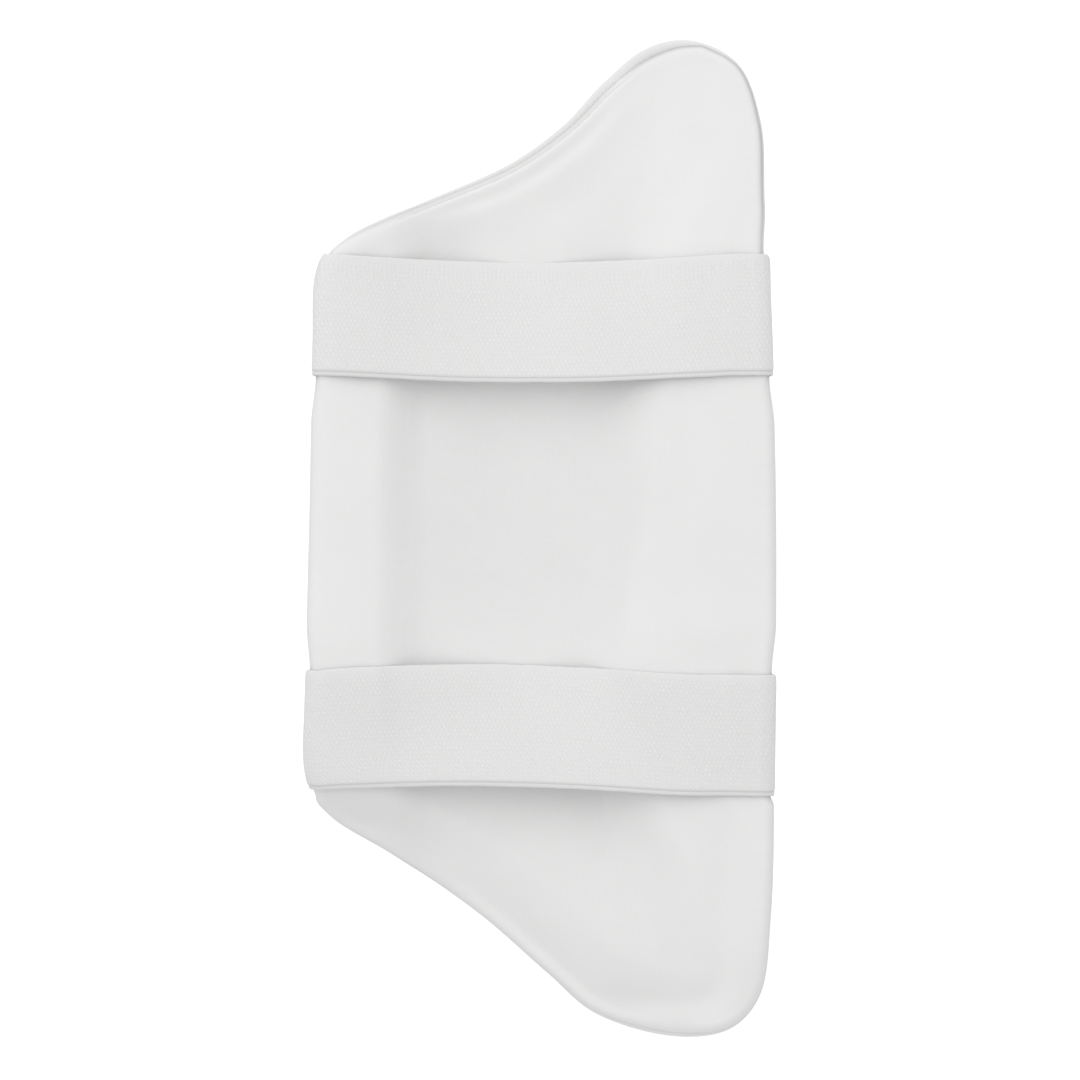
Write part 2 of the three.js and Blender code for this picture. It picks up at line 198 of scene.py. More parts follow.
def section_at(column, up):
    """A column of the sections at a height up the leg, on a smooth curve through its rows."""
    at, value = SECTIONS[:, UP], SECTIONS[:, column]
    rows = np.arange(len(at))
    before, after = np.maximum(rows - 1, 0), np.minimum(rows + 1, rows[-1])
    slope = (value[after] - value[before]) / (at[after] - at[before])
    k = np.clip(np.searchsorted(at, up) - 1, 0, rows[-1] - 1)
    span = at[k + 1] - at[k]
    t = np.clip((up - at[k]) / span, 0, 1)
    bend = t * (1 - t) * span * ((1 - t) * slope[k] - t * slope[k + 1])
    return value[k] + (value[k + 1] - value[k]) * ease(t, 0, 1) + bend


def wing_share(x, foot, wing):
    """How much of a wing's lift is left, from all of it at the crest to none past the foot."""
    crest, steep, past, share = wing
    return 1 - share * ease(x, foot - steep, foot) - (1 - share) * ease(x, crest, foot + past)


def trough_height(at):
    """The leg side before its edge rolls over: a floor between two wings."""
    short = section_at(SHORT_LIFT, at.y) * wing_share(at.x, section_at(SHORT_FOOT, at.y), SHORT_WING)
    long = section_at(LONG_LIFT, at.y) * wing_share(at.x, section_at(LONG_FOOT, at.y), LONG_WING)
    across = ease(at.x, CROWN_FROM, CROWN_TO)
    crown = section_at(SHORT_CROWN, at.y) * (1 - across) + section_at(LONG_CROWN, at.y) * across
    out = 1 - np.clip(at.edge / CROWN_WIDTH, 0, 1)
    level = ease(-at.y, LEVEL_FROM, LEVEL_TO)
    return section_at(FLOOR, at.y) + short + long - crown * out * out * (1 + 2 * (1 - out) * level)


def front_face(at):
    """The front: flat where it lies, rising to the sides and a little to both ends."""
    past = np.maximum(np.maximum(FLAT_SHORT - at.x, at.x - FLAT_LONG), 0)
    reach = np.where(at.x < 0, HALF_WIDTH + FLAT_SHORT, HALF_WIDTH - FLAT_LONG)
    end = np.clip((np.abs(at.y) - FLAT_END) / (HALF_LENGTH - FLAT_END), 0, 1)
    lies = SIDE_RISE * (past / reach) ** SIDE_BEND + END_RISE * end * end
    side = trough_height(at) - SEAM_DROP - RIM_DROP - EDGE_THICK
    return side + (np.minimum(lies, side - LEAST_BELOW) - side) * rolled(at.edge, FRONT_ROLL)


def rim_face(at):
    """The top of the front half: under the lining, and out past the seam to the edge."""
    return trough_height(at) - SEAM_DROP - RIM_DROP * (1 - rolled(at.edge, RIM_ROLL))


def raised(grid, height):
    return np.concatenate([grid, height[..., None]], 2)


def sewn(top, low):
    """Vertices and faces of two sheets of points, each going round the pad, sewn at their outer
    edges. Points in one place become one vertex. Also which vertex each point became."""
    points = np.concatenate([top.reshape(-1, 3), low.reshape(-1, 3)])
    verts, became = np.unique(np.round(points, 4), axis=0, return_inverse=True)
    became = became.ravel()
    rows, a, b = len(top), top.shape[1], low.shape[1]
    i = np.arange(rows)
    k = (i + 1) % rows
    quads = []
    for start, columns, order in ((0, a, 1), (rows * a, b, -1)):
        j = np.arange(columns - 1)
        near, far = start + i[:, None] * columns + j, start + k[:, None] * columns + j
        quads.append(np.stack([near, near + 1, far + 1, far], -1).reshape(-1, 4)[:, ::order])
    top_edge, low_edge = i * a + a - 1, rows * a + i * b + b - 1
    quads.append(np.stack([top_edge, low_edge, low_edge[k], top_edge[k]], 1))
    faces = []
    for face in became[np.concatenate(quads)].tolist():
        kept = [v for n, v in enumerate(face) if v != face[n - 1]]
        if len(kept) > 2 and len(set(kept)) == len(kept):
            faces.append(kept)
    return verts, faces, became


# Where the pad lies in the frame: its outline is centred on the solid's, and the flat of its front is
# at the solid's lowest height.
low_corner, high_corner = (np.array(corner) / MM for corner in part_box("front_pad"))
shift = (low_corner + high_corner) / 2
shift[:2] -= (edge_ring.min(0) + edge_ring.max(0)) / 2
shift[2] = low_corner[2]


def cloth_object(name, verts, faces):
    mesh = bpy.data.meshes.new(name)
    mesh.from_pydata(((verts + shift) * MM).tolist(), [], faces)
    mesh.shade_smooth()
    piece = bpy.data.objects.new(name, mesh)
    bpy.context.collection.objects.link(piece)
    return piece


def stuffing_push(top, low, loose_top, loose_low, cap, every=(6, 3), steps=20, smoothings=8):
    """How far the padding pushes each point of a pad's two sheets out, up to a cap, from a cloth
    simulation of a coarser copy. The points that are not loose are sewn down or held."""
    picked = [sheet[:: every[0], :: every[1]] for sheet in (top, low)]
    loose = np.concatenate([s[:: every[0], :: every[1]].ravel() for s in (loose_top, loose_low)])
    verts, faces, became = sewn(*picked)
    pad = cloth_object("stuffing", verts, faces)
    held = pad.vertex_groups.new(name="held")
    for vertex, free in zip(became.tolist(), loose.tolist()):
        held.add([vertex], 1 - free, "REPLACE")
    cloth = pad.modifiers.new("stuffing", "CLOTH")
    cloth.settings.vertex_group_mass = "held"
    cloth.settings.mass = 0.05
    cloth.settings.quality = 6
    cloth.settings.tension_stiffness = cloth.settings.compression_stiffness = 10
    cloth.settings.bending_stiffness = 0.5
    cloth.settings.use_pressure = True
    cloth.settings.uniform_pressure_force = 4
    cloth.settings.effector_weights.gravity = 0
    scene = bpy.context.scene
    for step in range(1, steps + 1):
        scene.frame_set(step)
    puffed = pad.evaluated_get(bpy.context.evaluated_depsgraph_get())
    moved = np.array([v.co for v in puffed.data.vertices]) / MM - shift - verts
    scene.frame_set(1)
    bpy.data.meshes.remove(pad.data)
    length = np.linalg.norm(moved, axis=1, keepdims=True)
    moved *= np.minimum(1, cap / np.maximum(length, 1e-9))
    beside = np.array([(a, b) for face in faces for a, b in zip(face, face[1:] + face[:1])])
    count = np.bincount(beside[:, 0], minlength=len(verts))[:, None]
    for _ in range(smoothings):
        near = np.zeros_like(moved)
        np.add.at(near, beside[:, 0], moved[beside[:, 1]])
        moved = (moved + near / count) / 2
    pushes, first = [], 0
    for sheet, part in zip((top, low), picked):
        coarse = moved[became[first : first + part.shape[0] * part.shape[1]]].reshape(part.shape)
        first += part.shape[0] * part.shape[1]
        rows = np.arange(sheet.shape[0]) / every[0]
        columns = np.minimum(np.arange(sheet.shape[1]) / every[1], part.shape[1] - 1)
        i, j = rows.astype(int), np.minimum(columns.astype(int), part.shape[1] - 2)
        s, t = (rows - i)[:, None, None], (columns - j)[None, :, None]
        k = (i + 1) % part.shape[0]
        near = coarse[i][:, j] * (1 - t) + coarse[i][:, j + 1] * t
        far = coarse[k][:, j] * (1 - t) + coarse[k][:, j + 1] * t
        pushes.append(near * (1 - s) + far * s)
    return pushes


class Wire:
    """A socket of a node tree, so that a material's sums are written as plain expressions."""

    def __init__(self, tree, socket):
        self.tree, self.socket = tree, socket

    @classmethod
    def node(cls, tree, kind, settings=(), inputs=(), output=0):
        """A new node: its settings are set first, then its sockets are given values or links."""
        node = tree.nodes.new(kind)
        for name, value in dict(settings).items():
            setattr(node, name, value)
        for name, value in dict(inputs).items():
            if isinstance(value, Wire):
                tree.links.new(value.socket, node.inputs[name])
            else:
                node.inputs[name].default_value = value
        return cls(tree, node.outputs[output])

    def maths(self, operation, *values):
        inputs = dict(enumerate((self, *values)))
        return Wire.node(self.tree, "ShaderNodeMath", {"operation": operation}, inputs)

    def __add__(self, other):
        return self.maths("ADD", other)

    def __sub__(self, other):
        return self.maths("SUBTRACT", other)

    def __mul__(self, other):
        return self.maths("MULTIPLY", other)

    def __truediv__(self, other):
        return self.maths("DIVIDE", other)

    def __neg__(self):
        return self * -1

    def __rsub__(self, other):
        return -self + other

    __radd__, __rmul__ = __add__, __mul__

    def __abs__(self):
        return self.maths("ABSOLUTE")

    def __lt__(self, other):
        return self.maths("LESS_THAN", other)

    def fraction(self):
        return self.maths("FRACT")

    def clipped(self):
        return self.maths("MAXIMUM", 0).maths("MINIMUM", 1)


def new_material(name, values):
    """A new material with these values on its main shader, its node tree and that shader."""
    material = bpy.data.materials.new(name)
    material.use_nodes = True
    shader = material.node_tree.nodes["Principled BSDF"]
    for socket, value in values.items():
        shader.inputs[socket].default_value = value
    return material, material.node_tree, shader


def knit(tree, wale, course, slant=0.55, dip=0.6):
    """How far a fine knit stands up: columns of small V stitches up the leg."""
    place = Wire.node(tree, "ShaderNodeTexCoord", output="Object")
    x, y, z = (Wire.node(tree, "ShaderNodeSeparateXYZ", {}, {0: place}, axis) for axis in "XYZ")
    column = ((x + z) / (wale * MM)).fraction() * 2 - 1
    row = (y / (course * MM) + abs(column) * slant).fraction() * 2 - 1
    return (1 - column * column) * (1 - row * row * dip)


def patchy(tree, size, detail=3):
    """Soft random patches, from 0 to 1, of a size in millimetres."""
    place = Wire.node(tree, "ShaderNodeTexCoord", output="Object")
    inputs = {"Vector": place, "Scale": 1 / (size * MM), "Detail": detail}
    return Wire.node(tree, "ShaderNodeTexNoise", {}, inputs, "Fac")


def cloth_look(tree, shader, tone, dull, bright, height, strength, depth):
    """Colours a cloth between two tones, and lets its threads stand up by a depth in millimetres."""
    inputs = {0: tone, 6: (*dull, 1), 7: (*bright, 1)}
    colour = Wire.node(tree, "ShaderNodeMix", {"data_type": "RGBA", "clamp_factor": False}, inputs, 2)
    tree.links.new(colour.socket, shader.inputs["Base Color"])
    inputs = {"Strength": strength, "Distance": depth * MM, "Height": height}
    threads = Wire.node(tree, "ShaderNodeBump", {}, inputs)
    tree.links.new(threads.socket, shader.inputs["Normal"])


COVER_DULL, COVER_BRIGHT = (0.82, 0.82, 0.817), (0.875, 0.875, 0.872)
COVER_WALE, COVER_COURSE = 0.9, 0.75
cover_cloth, tree, shader = new_material("stretch_cover", {
    "Roughness": 0.85, "Specular IOR Level": 0.25, "Sheen Weight": 0.12, "Sheen Roughness": 0.5,
})
stitches = knit(tree, COVER_WALE, COVER_COURSE)
blotches, grain, fuzz = (patchy(tree, size) for size in (45, 1.5, 0.6))
tone = (blotches * 0.7 + grain * 0.3 + stitches * 0.25).clipped()
cloth_look(tree, shader, tone, COVER_DULL, COVER_BRIGHT, stitches + fuzz, strength=0.35, depth=0.08)

# The cover is sewn down at its edge and held under the straps, and free to puff out elsewhere.
front_grid = spoke_grid(RINGS, PAST_SEAM)
at = spots(front_grid)
front_rim = raised(front_grid, rim_face(at))
front_cloth = raised(front_grid, front_face(at))
loose = ease(at.edge, 2, 14) * (1 - under_strap(at.y, 0, 14, 14))
_, push = stuffing_push(front_rim, front_cloth, loose * 0, loose, cap=0.9)
front_cloth = front_cloth + push
front_pad = cloth_object("front_pad_cover", *sewn(front_rim, front_cloth)[:2])
front_pad.data.materials.append(cover_cloth)
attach(front_pad, "root")
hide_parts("front_pad")

# Back panel: the lining on the leg side, a brushed white knit over a thin foam sheet, sewn to the
# front cover all round. It dips into the trough, its edge rolls down to the seam, and the seam
# pulls it into a fold and small puckers along the upper end.

LINING_GAP, LINING_EDGE = 0.3, 0.7
SHORT_ROLL, LONG_ROLL = 8, 4
# Furrows of the lining: how deep each is, how far inside the seam it runs, and how wide it is. The
# hollow round the lower end is measured from the edge, and runs further inside on the long side.
FOLD_DEPTH, FOLD_IN, FOLD_WIDTH = 0.55, 2.2, 0.5
PULL_DEPTH, PULL_IN, PULL_WIDTH = 0.9, 7.5, 3
HOLLOW_DEPTH, HOLLOW_IN, HOLLOW_FURTHER, HOLLOW_WIDTH = 2.2, 5, 11, 7
PUCKER_HEIGHT, PUCKER_FROM, PUCKER_FADE = 0.13, 1.2, 3.5
SWELL_HEIGHT = 0.16
# Shallow dents where the foam has been pressed: across, up the leg, width, length, depth.
DENTS = [
    (68, 126, 9, 11, 0.7), (72, -49, 10, 8, 1), (64, 160, 11, 34, 2), (40, 184, 9, 14, 0.6),
    (20, -150, 20, 13, 0.5), (74, -158, 10, 36, 2), (-36, 119, 14, 14, 2.4), (12, 140, 16, 10, 0.4),
    (-80, -119, 16, 10, 3),
]
# The long side of the painted shade on the trough's floor: its place at the middle of the pad, how
# much it leans, and half the width over which it fades.
TROUGH_SHADE_TO, TROUGH_SHADE_LEAN, TROUGH_SHADE_FADE = 40, 0.17, 4
# The painted shade along the seam: how wide it is, and its share along the upper end of the short
# side.
SEAM_SHADE_WIDTH, SEAM_SHADE_HALF = 1.2, 0.5


def lining_face(at):
    """The lining's plain leg side. Its edge rolls more tightly on the long side and at the lower
    end of the short side."""
    side = rim_face(at) + LINING_GAP + LINING_EDGE
    lower_end = ease(-at.y, 125, 150) * (1 - ease(at.x, 10, 40))
    tight = np.maximum(ease(at.x, 45, 80), lower_end)
    roll = SHORT_ROLL + (LONG_ROLL - SHORT_ROLL) * tight
    return side + (trough_height(at) - side) * rolled(at.seam, roll)


def furrow(distance, middle, width):
    """1 along the middle of a furrow, fading to 0 on both sides."""
    return np.exp(-(((distance - middle) / width) ** 2))


def lining_folds(at, along):
    """Low folds of the lining, in millimetres: how far they stand up from its plain shape."""
    upper = ease(at.y, 124, 142) * (1 - ease(at.x, 24, 48))
    fold = -FOLD_DEPTH * furrow(at.seam, FOLD_IN, FOLD_WIDTH) * upper
    pull = -PULL_DEPTH * furrow(at.seam, PULL_IN, PULL_WIDTH) * ease(at.y, 132, 142)
    pull = pull * (1 - ease(at.x, 16, 36))
    inside = at.edge - HOLLOW_IN - HOLLOW_FURTHER * ease(at.x, 15, 60)
    hollow = -HOLLOW_DEPTH * furrow(inside, 0, HOLLOW_WIDTH) * ease(-at.y, 106, 122)
    hollow = hollow * ease(at.x, -40, 0) * (1 - ease(at.x, 70, 90))
    # Two quick waves along the seam, each of which comes and goes.
    ripple = np.sin(along / 1.21) * np.sin(along / 13)
    ripple = ripple + 0.7 * np.sin(along / 0.87 + 1) * np.sin(along / 21 + 2)
    puckers = PUCKER_HEIGHT * ripple * np.exp(-at.seam / PUCKER_FADE) * ease(at.seam, 0, PUCKER_FROM)
    dents = sum(
        -depth * np.exp(-(((at.x - x) / width) ** 2) - ((at.y - y) / length) ** 2)
        for x, y, width, length, depth in DENTS
    )
    # Slow waves both ways that wander, so that the foam looks a little uneven.
    swell = SWELL_HEIGHT * np.sin(at.x / 9 + 0.6 * np.sin(at.y / 31))
    swell = swell * np.sin(at.y / 17 + 1.3 * np.sin(at.x / 23))
    folds = fold + pull + puckers + swell * ease(at.seam, 4, 16)
    return folds * (1 - under_strap(at.y, 1, 5, 5)) + (dents + hollow) * ease(at.seam, 0, 6)


def painted_shade_places(at):
    """1 where the lining is painted in shade, on the trough's floor between the straps and below the
    lower strap on the short side."""
    right = TROUGH_SHADE_TO + at.y * TROUGH_SHADE_LEAN
    floor = ease(at.x, -56, -48) * (1 - ease(at.x, right - TROUGH_SHADE_FADE, right + TROUGH_SHADE_FADE))
    floor = floor * ease(at.y, -55, -30) * (1 - ease(at.y, -10, 60))
    lower_flank = ease(-at.y, 96, 106) * (1 - ease(at.x, -66, -22))
    return np.maximum(floor, lower_flank)


def painted_seam_shade(at):
    """1 on a thin strip of painted shade along the lining's seam, at the top and down the long side
    from there, and less along the upper end of the short side."""
    place = np.maximum(ease(at.y, 188, 202), ease(at.x, 66, 76) * ease(at.y, 70, 160))
    place = np.maximum(place, SEAM_SHADE_HALF * ease(at.y, 120, 130) * (1 - ease(at.x, 20, 40)))
    return place * furrow(at.seam, 0, SEAM_SHADE_WIDTH)


LINING_DULL, LINING_BRIGHT = (0.83, 0.83, 0.827), (0.885, 0.885, 0.882)
LINING_WALE, LINING_COURSE = 0.8, 0.7
# How much the painted shade darkens the lining on the trough's floor and lower flank, and how much the
# painted shade along the seam does.
PAINTED_SHADE_DULLS, SEAM_SHADE_DULLS = 0.5, 6
lining_cloth, tree, shader = new_material("brushed_lining", {
    "Roughness": 0.92, "Specular IOR Level": 0.2, "Sheen Weight": 0.18, "Sheen Roughness": 0.6,
})
stitches = knit(tree, LINING_WALE, LINING_COURSE)
blotches, clouds, grain, fuzz = (patchy(tree, size) for size in (38, 13, 1.2, 0.5))
tone = blotches * 0.6 + clouds * 0.4 + grain * 0.35 + stitches * 0.2 - 0.15
# Painted shade: the lining's colour is darkened on the trough's floor, on the lower flank and in a
# thin strip along the seam.
shade_on_lining, seam_shade = (
    Wire.node(tree, "ShaderNodeAttribute", {"attribute_name": name}, {}, "Fac")
    for name in ("painted_shade", "seam_shade")
)
tone = tone - shade_on_lining * PAINTED_SHADE_DULLS - seam_shade * SEAM_SHADE_DULLS
nap = stitches + fuzz * 1.5
cloth_look(tree, shader, tone, LINING_DULL, LINING_BRIGHT, nap, strength=0.3, depth=0.07)

# The lining is sewn down at the seam and held by the straps where they lie on the wings.
lining_grid = spoke_grid(RINGS)
at = spots(lining_grid)
seam_steps = np.linalg.norm(np.roll(seam_ring, -1, 0) - seam_ring, axis=1)
along = np.concatenate([[0], np.cumsum(seam_steps)[:-1]])[:, None]
lining_top = raised(lining_grid, lining_face(at))
lining_low = raised(lining_grid, rim_face(at) + LINING_GAP)
held = np.maximum(ease(-at.x, 40, 60), ease(at.x, 5, 30)) * under_strap(at.y, 0, 12, 12)
loose = ease(at.seam, 1, 12) * (1 - held)
push, _ = stuffing_push(lining_top, lining_low, loose, loose * 0, cap=1.2)
lining_top = lining_top + push
lining_top[..., 2] += lining_folds(at, along)
verts, faces, became = sewn(lining_top, lining_low)
back_panel = cloth_object("back_panel_lining", verts, faces)
# The shares of painted shade are stored on the lining's points.
for name, shares in (("painted_shade", painted_shade_places(at)), ("seam_shade", painted_seam_shade(at))):
    on_verts = np.zeros(len(verts))
    on_verts[became] = np.tile(shares.ravel(), 2)
    back_panel.data.attributes.new(name, "FLOAT", "POINT").data.foreach_set("value", on_verts)
back_panel.data.materials.append(lining_cloth)
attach(back_panel, "root")
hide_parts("back_panel")

# Straps: two bands of white woven elastic, 50 mm wide, that go right round the pad and lap on its
# front near the long side. They are stretched, so they hang over the trough with a low sag, and
# their woven edges are thinner than the middle.

STRAP_THICK, STRAP_GAP = 1.4, 0.35
SPAN_MIDDLE, SPAN_HALF = -6, 84
LAP_FROM, LAP_LENGTH, LAP_RAMP = 87, 27, 14
TAB_WIDTH, TAB_LENGTH, TAB_THICK, TAB_GAP = 44, 22, 1.2, 0.3
# How each strap runs over the trough: how far it bows, where, how far it leans, how far it sags,
# how much more its upper edge sags than its lower one, and how far its lower edge stands off the pad.
STRAP_RUN = {"upper": (-2.8, -6, 0, 8.8, 8.4, 0), "lower": (3, -38, -2, 8, 16.6, 3)}
# A strap counts as over the trough by the slope of its path, from the first of these to the second.
# On the short side the sag is gathered nearer the middle, by a higher power.
OVER_FROM, OVER_FULL, HEADING_STEP = 0.6, 0.95, 2.5
SAG_SHORT, SAG_LONG = 2.5, 1
# How softly a strap comes to lie on the lining: at the wings, how much more over the trough, and how
# much of that is lost at its upper edge.
SOFT_WING, SOFT_TROUGH, SOFT_LOST = 0.5, 8, 0.8
WORKED_ROWS, CURVE_TERMS, STRAP_STEPS, TAB_STEPS, TAB_ROWS = 11, 5, 260, 24, 45
# The strap's thickness by the distance from its edge: a thin edge, then on the lower side a flat
# selvedge and a groove, and on the upper side a plain slope.
SELVEDGE = np.array([
    (0, 0.6, 0.6), (0.12, 0.85, 0.85), (0.35, 1.02, 1.02), (0.8, 1.1, 1.14), (1.3, 1.08, 1.22),
    (1.65, 1.0, 1.26), (1.85, 0.96, 1.28), (2.05, 1.02, 1.3), (2.5, 1.3, 1.34), (3.2, 1.4, 1.38),
    (4.5, 1.4, 1.4),
])
EDGE_WAVER, EDGE_RIPPLE, EDGE_POWER = 0.07, 0.03, 6


def hull(points):
    """The outer ring of points in a plane, in order the way the strap runs."""
    def turn(a, b, c):
        return (b[0] - a[0]) * (c[1] - a[1]) - (b[1] - a[1]) * (c[0] - a[0])
    def chain(ordered):
        kept = []
        for p in ordered:
            while len(kept) > 1 and turn(kept[-2], kept[-1], p) <= 0:
                kept.pop()
            kept.append(p)
        return kept[:-1]
    ordered = points[np.lexsort((points[:, 1], points[:, 0]))]
    return np.array(chain(ordered) + chain(ordered[::-1]))[::-1]


def band_path(up, fine=161):
    """The pad's section round a height up the leg, pulled straight over the trough. The path starts
    on the front near the long side and runs to the short side. With its distance along."""
    section = []
    for height in (up - STRAP_BED, up, up + STRAP_BED):
        a, b = edge_ring, np.roll(edge_ring, -1, 0)
        cross = (a[:, 1] > height) != (b[:, 1] > height)
        a, b = a[cross], b[cross]
        ends = a[:, 0] + (b[:, 0] - a[:, 0]) * (height - a[:, 1]) / (b[:, 1] - a[:, 1])
        x = ends.min() + np.ptp(ends) * (1 - np.cos(np.linspace(0, np.pi, fine))) / 2
        at = spots(np.stack([x, np.full_like(x, height)], 1))
        leg_side = np.maximum(rim_face(at), lining_face(at))
        section += [np.stack([x, z], 1) for z in (front_face(at), leg_side)]
    ring = hull(np.concatenate(section))
    following = np.roll(ring, -1, 0)
    i = int(np.argmax((ring[:, 0] >= LAP_FROM) & (following[:, 0] < LAP_FROM)))
    share = (ring[i, 0] - LAP_FROM) / (ring[i, 0] - following[i, 0])
    start = ring[i] + (following[i] - ring[i]) * share
    path = np.concatenate([[start], ring[i + 1 :], ring[: i + 1], [start]])
    return path, np.concatenate([[0], np.cumsum(np.linalg.norm(np.diff(path, axis=0), axis=1))])


def band_points(strap, offset, path, along, lift):
    """Points of a strap at distances along its path, lifted off the pad, sagging over the trough
    down to the lining, and bowed and leaning there."""
    line, length = path
    bow, bow_at, lean, sag, twist, stand_off = STRAP_RUN[strap]
    def on_path(s):
        s = np.mod(s, length[-1])
        return np.stack([np.interp(s, length, line[:, 0]), np.interp(s, length, line[:, 1])], -1)
    point = on_path(along)
    run = on_path(along + HEADING_STEP) - on_path(along - HEADING_STEP)
    run /= np.linalg.norm(run, axis=-1, keepdims=True)
    over = run[..., 0] > OVER_FROM
    across = np.where(over, np.maximum(0, 1 - ((point[..., 0] - SPAN_MIDDLE) / SPAN_HALF) ** 2), 0)
    bowed = np.where(over, np.maximum(0, 1 - ((point[..., 0] - bow_at) / HALF_WIDTH) ** 2), 0)
    x = point[..., 0] - run[..., 1] * lift
    y = STRAP_AT[strap] + offset + bow * bowed * np.sqrt(across)
    y = y + lean * point[..., 0] / (2 * HALF_WIDTH)
    z = point[..., 1] + run[..., 0] * lift
    gathered = SAG_SHORT + (SAG_LONG - SAG_SHORT) * ease(x, -10, 40)
    hung = z - (sag + twist * offset / STRAP_WIDTH) * across ** gathered
    hung += stand_off * ease(-offset, 5, STRAP_WIDTH / 2) * ease(-x, 0, 50)
    lying = lining_face(spots(np.stack([x, y], -1))) + lift
    lost = SOFT_LOST * ease(offset, 5, STRAP_WIDTH / 2)
    soft = SOFT_WING + SOFT_TROUGH * ease(across, 0, 0.4) * (1 - lost)
    higher = (hung + lying + np.sqrt((hung - lying) ** 2 + soft)) / 2
    return np.stack([x, y, z + (higher - z) * ease(run[..., 0], OVER_FROM, OVER_FULL)], -1)


def band(strap, offsets, share_from, share_to, steps, lifts):
    """Two sheets of points of a band round the pad, its inner and its outer face, and the distance
    along the strap of each point. lifts gives both lifts from the distance along and the length.
    A few rows are worked out, and a smooth curve across the strap goes through them."""
    rows = np.linspace(-STRAP_WIDTH / 2, STRAP_WIDTH / 2, WORKED_ROWS)
    faces, distances = ([], []), []
    for offset in rows:
        path = band_path(STRAP_AT[strap] + offset)
        length = path[1][-1]
        along = np.linspace(share_from(length), share_to(length), steps + 1)
        distances.append(along)
        for face, lift in zip(faces, lifts(along, length)):
            face.append(band_points(strap, offset, path, along, lift))
    powers = np.vander(rows / STRAP_WIDTH, CURVE_TERMS)
    spread = np.vander(offsets / STRAP_WIDTH, CURVE_TERMS) @ np.linalg.pinv(powers)
    inner, outer = (np.einsum("cr,rsk->sck", spread, np.array(face)) for face in faces)
    return inner, outer, np.einsum("cr,rs->sc", spread, np.array(distances))


def walled(inner, outer):
    """Vertices and faces of a closed band between its two faces."""
    rows, columns = inner.shape[:2]
    index = np.arange(rows * columns).reshape(rows, columns)
    far = index + rows * columns
    def quads(a, b, c, d):
        return np.stack([a, b, c, d], -1).reshape(-1, 4)
    faces = [
        quads(index[:-1, :-1], index[:-1, 1:], index[1:, 1:], index[1:, :-1]),
        quads(far[:-1, :-1], far[1:, :-1], far[1:, 1:], far[:-1, 1:]),
        quads(index[:-1, 0], index[1:, 0], far[1:, 0], far[:-1, 0]),
        quads(index[:-1, -1], far[:-1, -1], far[1:, -1], index[1:, -1]),
        quads(index[0, :-1], far[0, :-1], far[0, 1:], index[0, 1:]),
        quads(index[-1, :-1], index[-1, 1:], far[-1, 1:], far[-1, :-1]),
    ]
    return np.concatenate([inner.reshape(-1, 3), outer.reshape(-1, 3)]), np.concatenate(faces).tolist()


def lap_lift(along, length):
    """How far the strap's inner face is off the pad: it climbs over its own start and the tab."""
    over = STRAP_THICK + TAB_THICK + 2 * TAB_GAP
    return STRAP_GAP + over * ease(along, length - LAP_RAMP, length - 2)


# The weave is short marks in rows like bricks, each row half a step on from the last. They lean a
# little, and the threads are uneven, so that the marks wander and fade. The edges have fine ribs, and
# the lower selvedge ends in a groove.
ELASTIC_DULL, ELASTIC_BRIGHT = (0.79, 0.79, 0.787), (0.87, 0.87, 0.867)
BRICK_WIDTH, BRICK_STEP, BRICK_LEAN, BRICK_ENDS = 3.6, 1.8, 0.1, 1.6
RIB_STEP, EDGE_WIDTH, GROOVE_AT, GROOVE_WIDTH = 1.1, 2.4, 1.85, 0.5
elastic, tree, shader = new_material("woven_elastic", {
    "Roughness": 0.8, "Specular IOR Level": 0.3, "Sheen Weight": 0.1,
})
weave_place = Wire.node(tree, "ShaderNodeUVMap", {"uv_map": "weave"}, {})
across, along = (Wire.node(tree, "ShaderNodeSeparateXYZ", {}, {0: weave_place}, axis) for axis in "XY")


def brick_marks(across, along):
    in_row = (across / BRICK_WIDTH).fraction() * 2 - 1
    in_step = (along / BRICK_STEP + in_row * BRICK_LEAN).fraction() * 2 - 1
    return (1 - abs(in_step) - in_row * in_row * BRICK_ENDS).clipped()


across_thread = across + patchy(tree, 1.6, 2) * 1.1
along_thread = along + patchy(tree, 1.3, 2) * 1.5
marks = brick_marks(across_thread, along_thread)
next_row = brick_marks(across_thread + BRICK_WIDTH / 2, along_thread + BRICK_STEP / 2)
marks = marks.maths("MAXIMUM", next_row) * (patchy(tree, 3, 2) * 2.4 - 0.4).clipped()
from_edge = (STRAP_WIDTH / 2 - abs(across - STRAP_WIDTH / 2)) / EDGE_WIDTH
body = (from_edge * 5 - 4).clipped()
ribs = abs((along / RIB_STEP).fraction() * 2 - 1)
height = marks * body + ribs * (1 - body) * 0.3
# Painted shade: the groove on the lower selvedge, and the selvedge outside it, are darkened in the
# strap's colour.
groove_shade = (1 - abs(across - GROOVE_AT) / GROOVE_WIDTH).clipped() * 2 + (across < GROOVE_AT) * 0.6
blotches, grain, fuzz = (patchy(tree, size) for size in (30, 0.8, 0.4))
tone = height * 0.8 + blotches * 0.4 + grain * 0.4 - 0.2 - groove_shade
threads = height + fuzz * 0.2
cloth_look(tree, shader, tone, ELASTIC_DULL, ELASTIC_BRIGHT, threads, strength=0.7, depth=0.26)

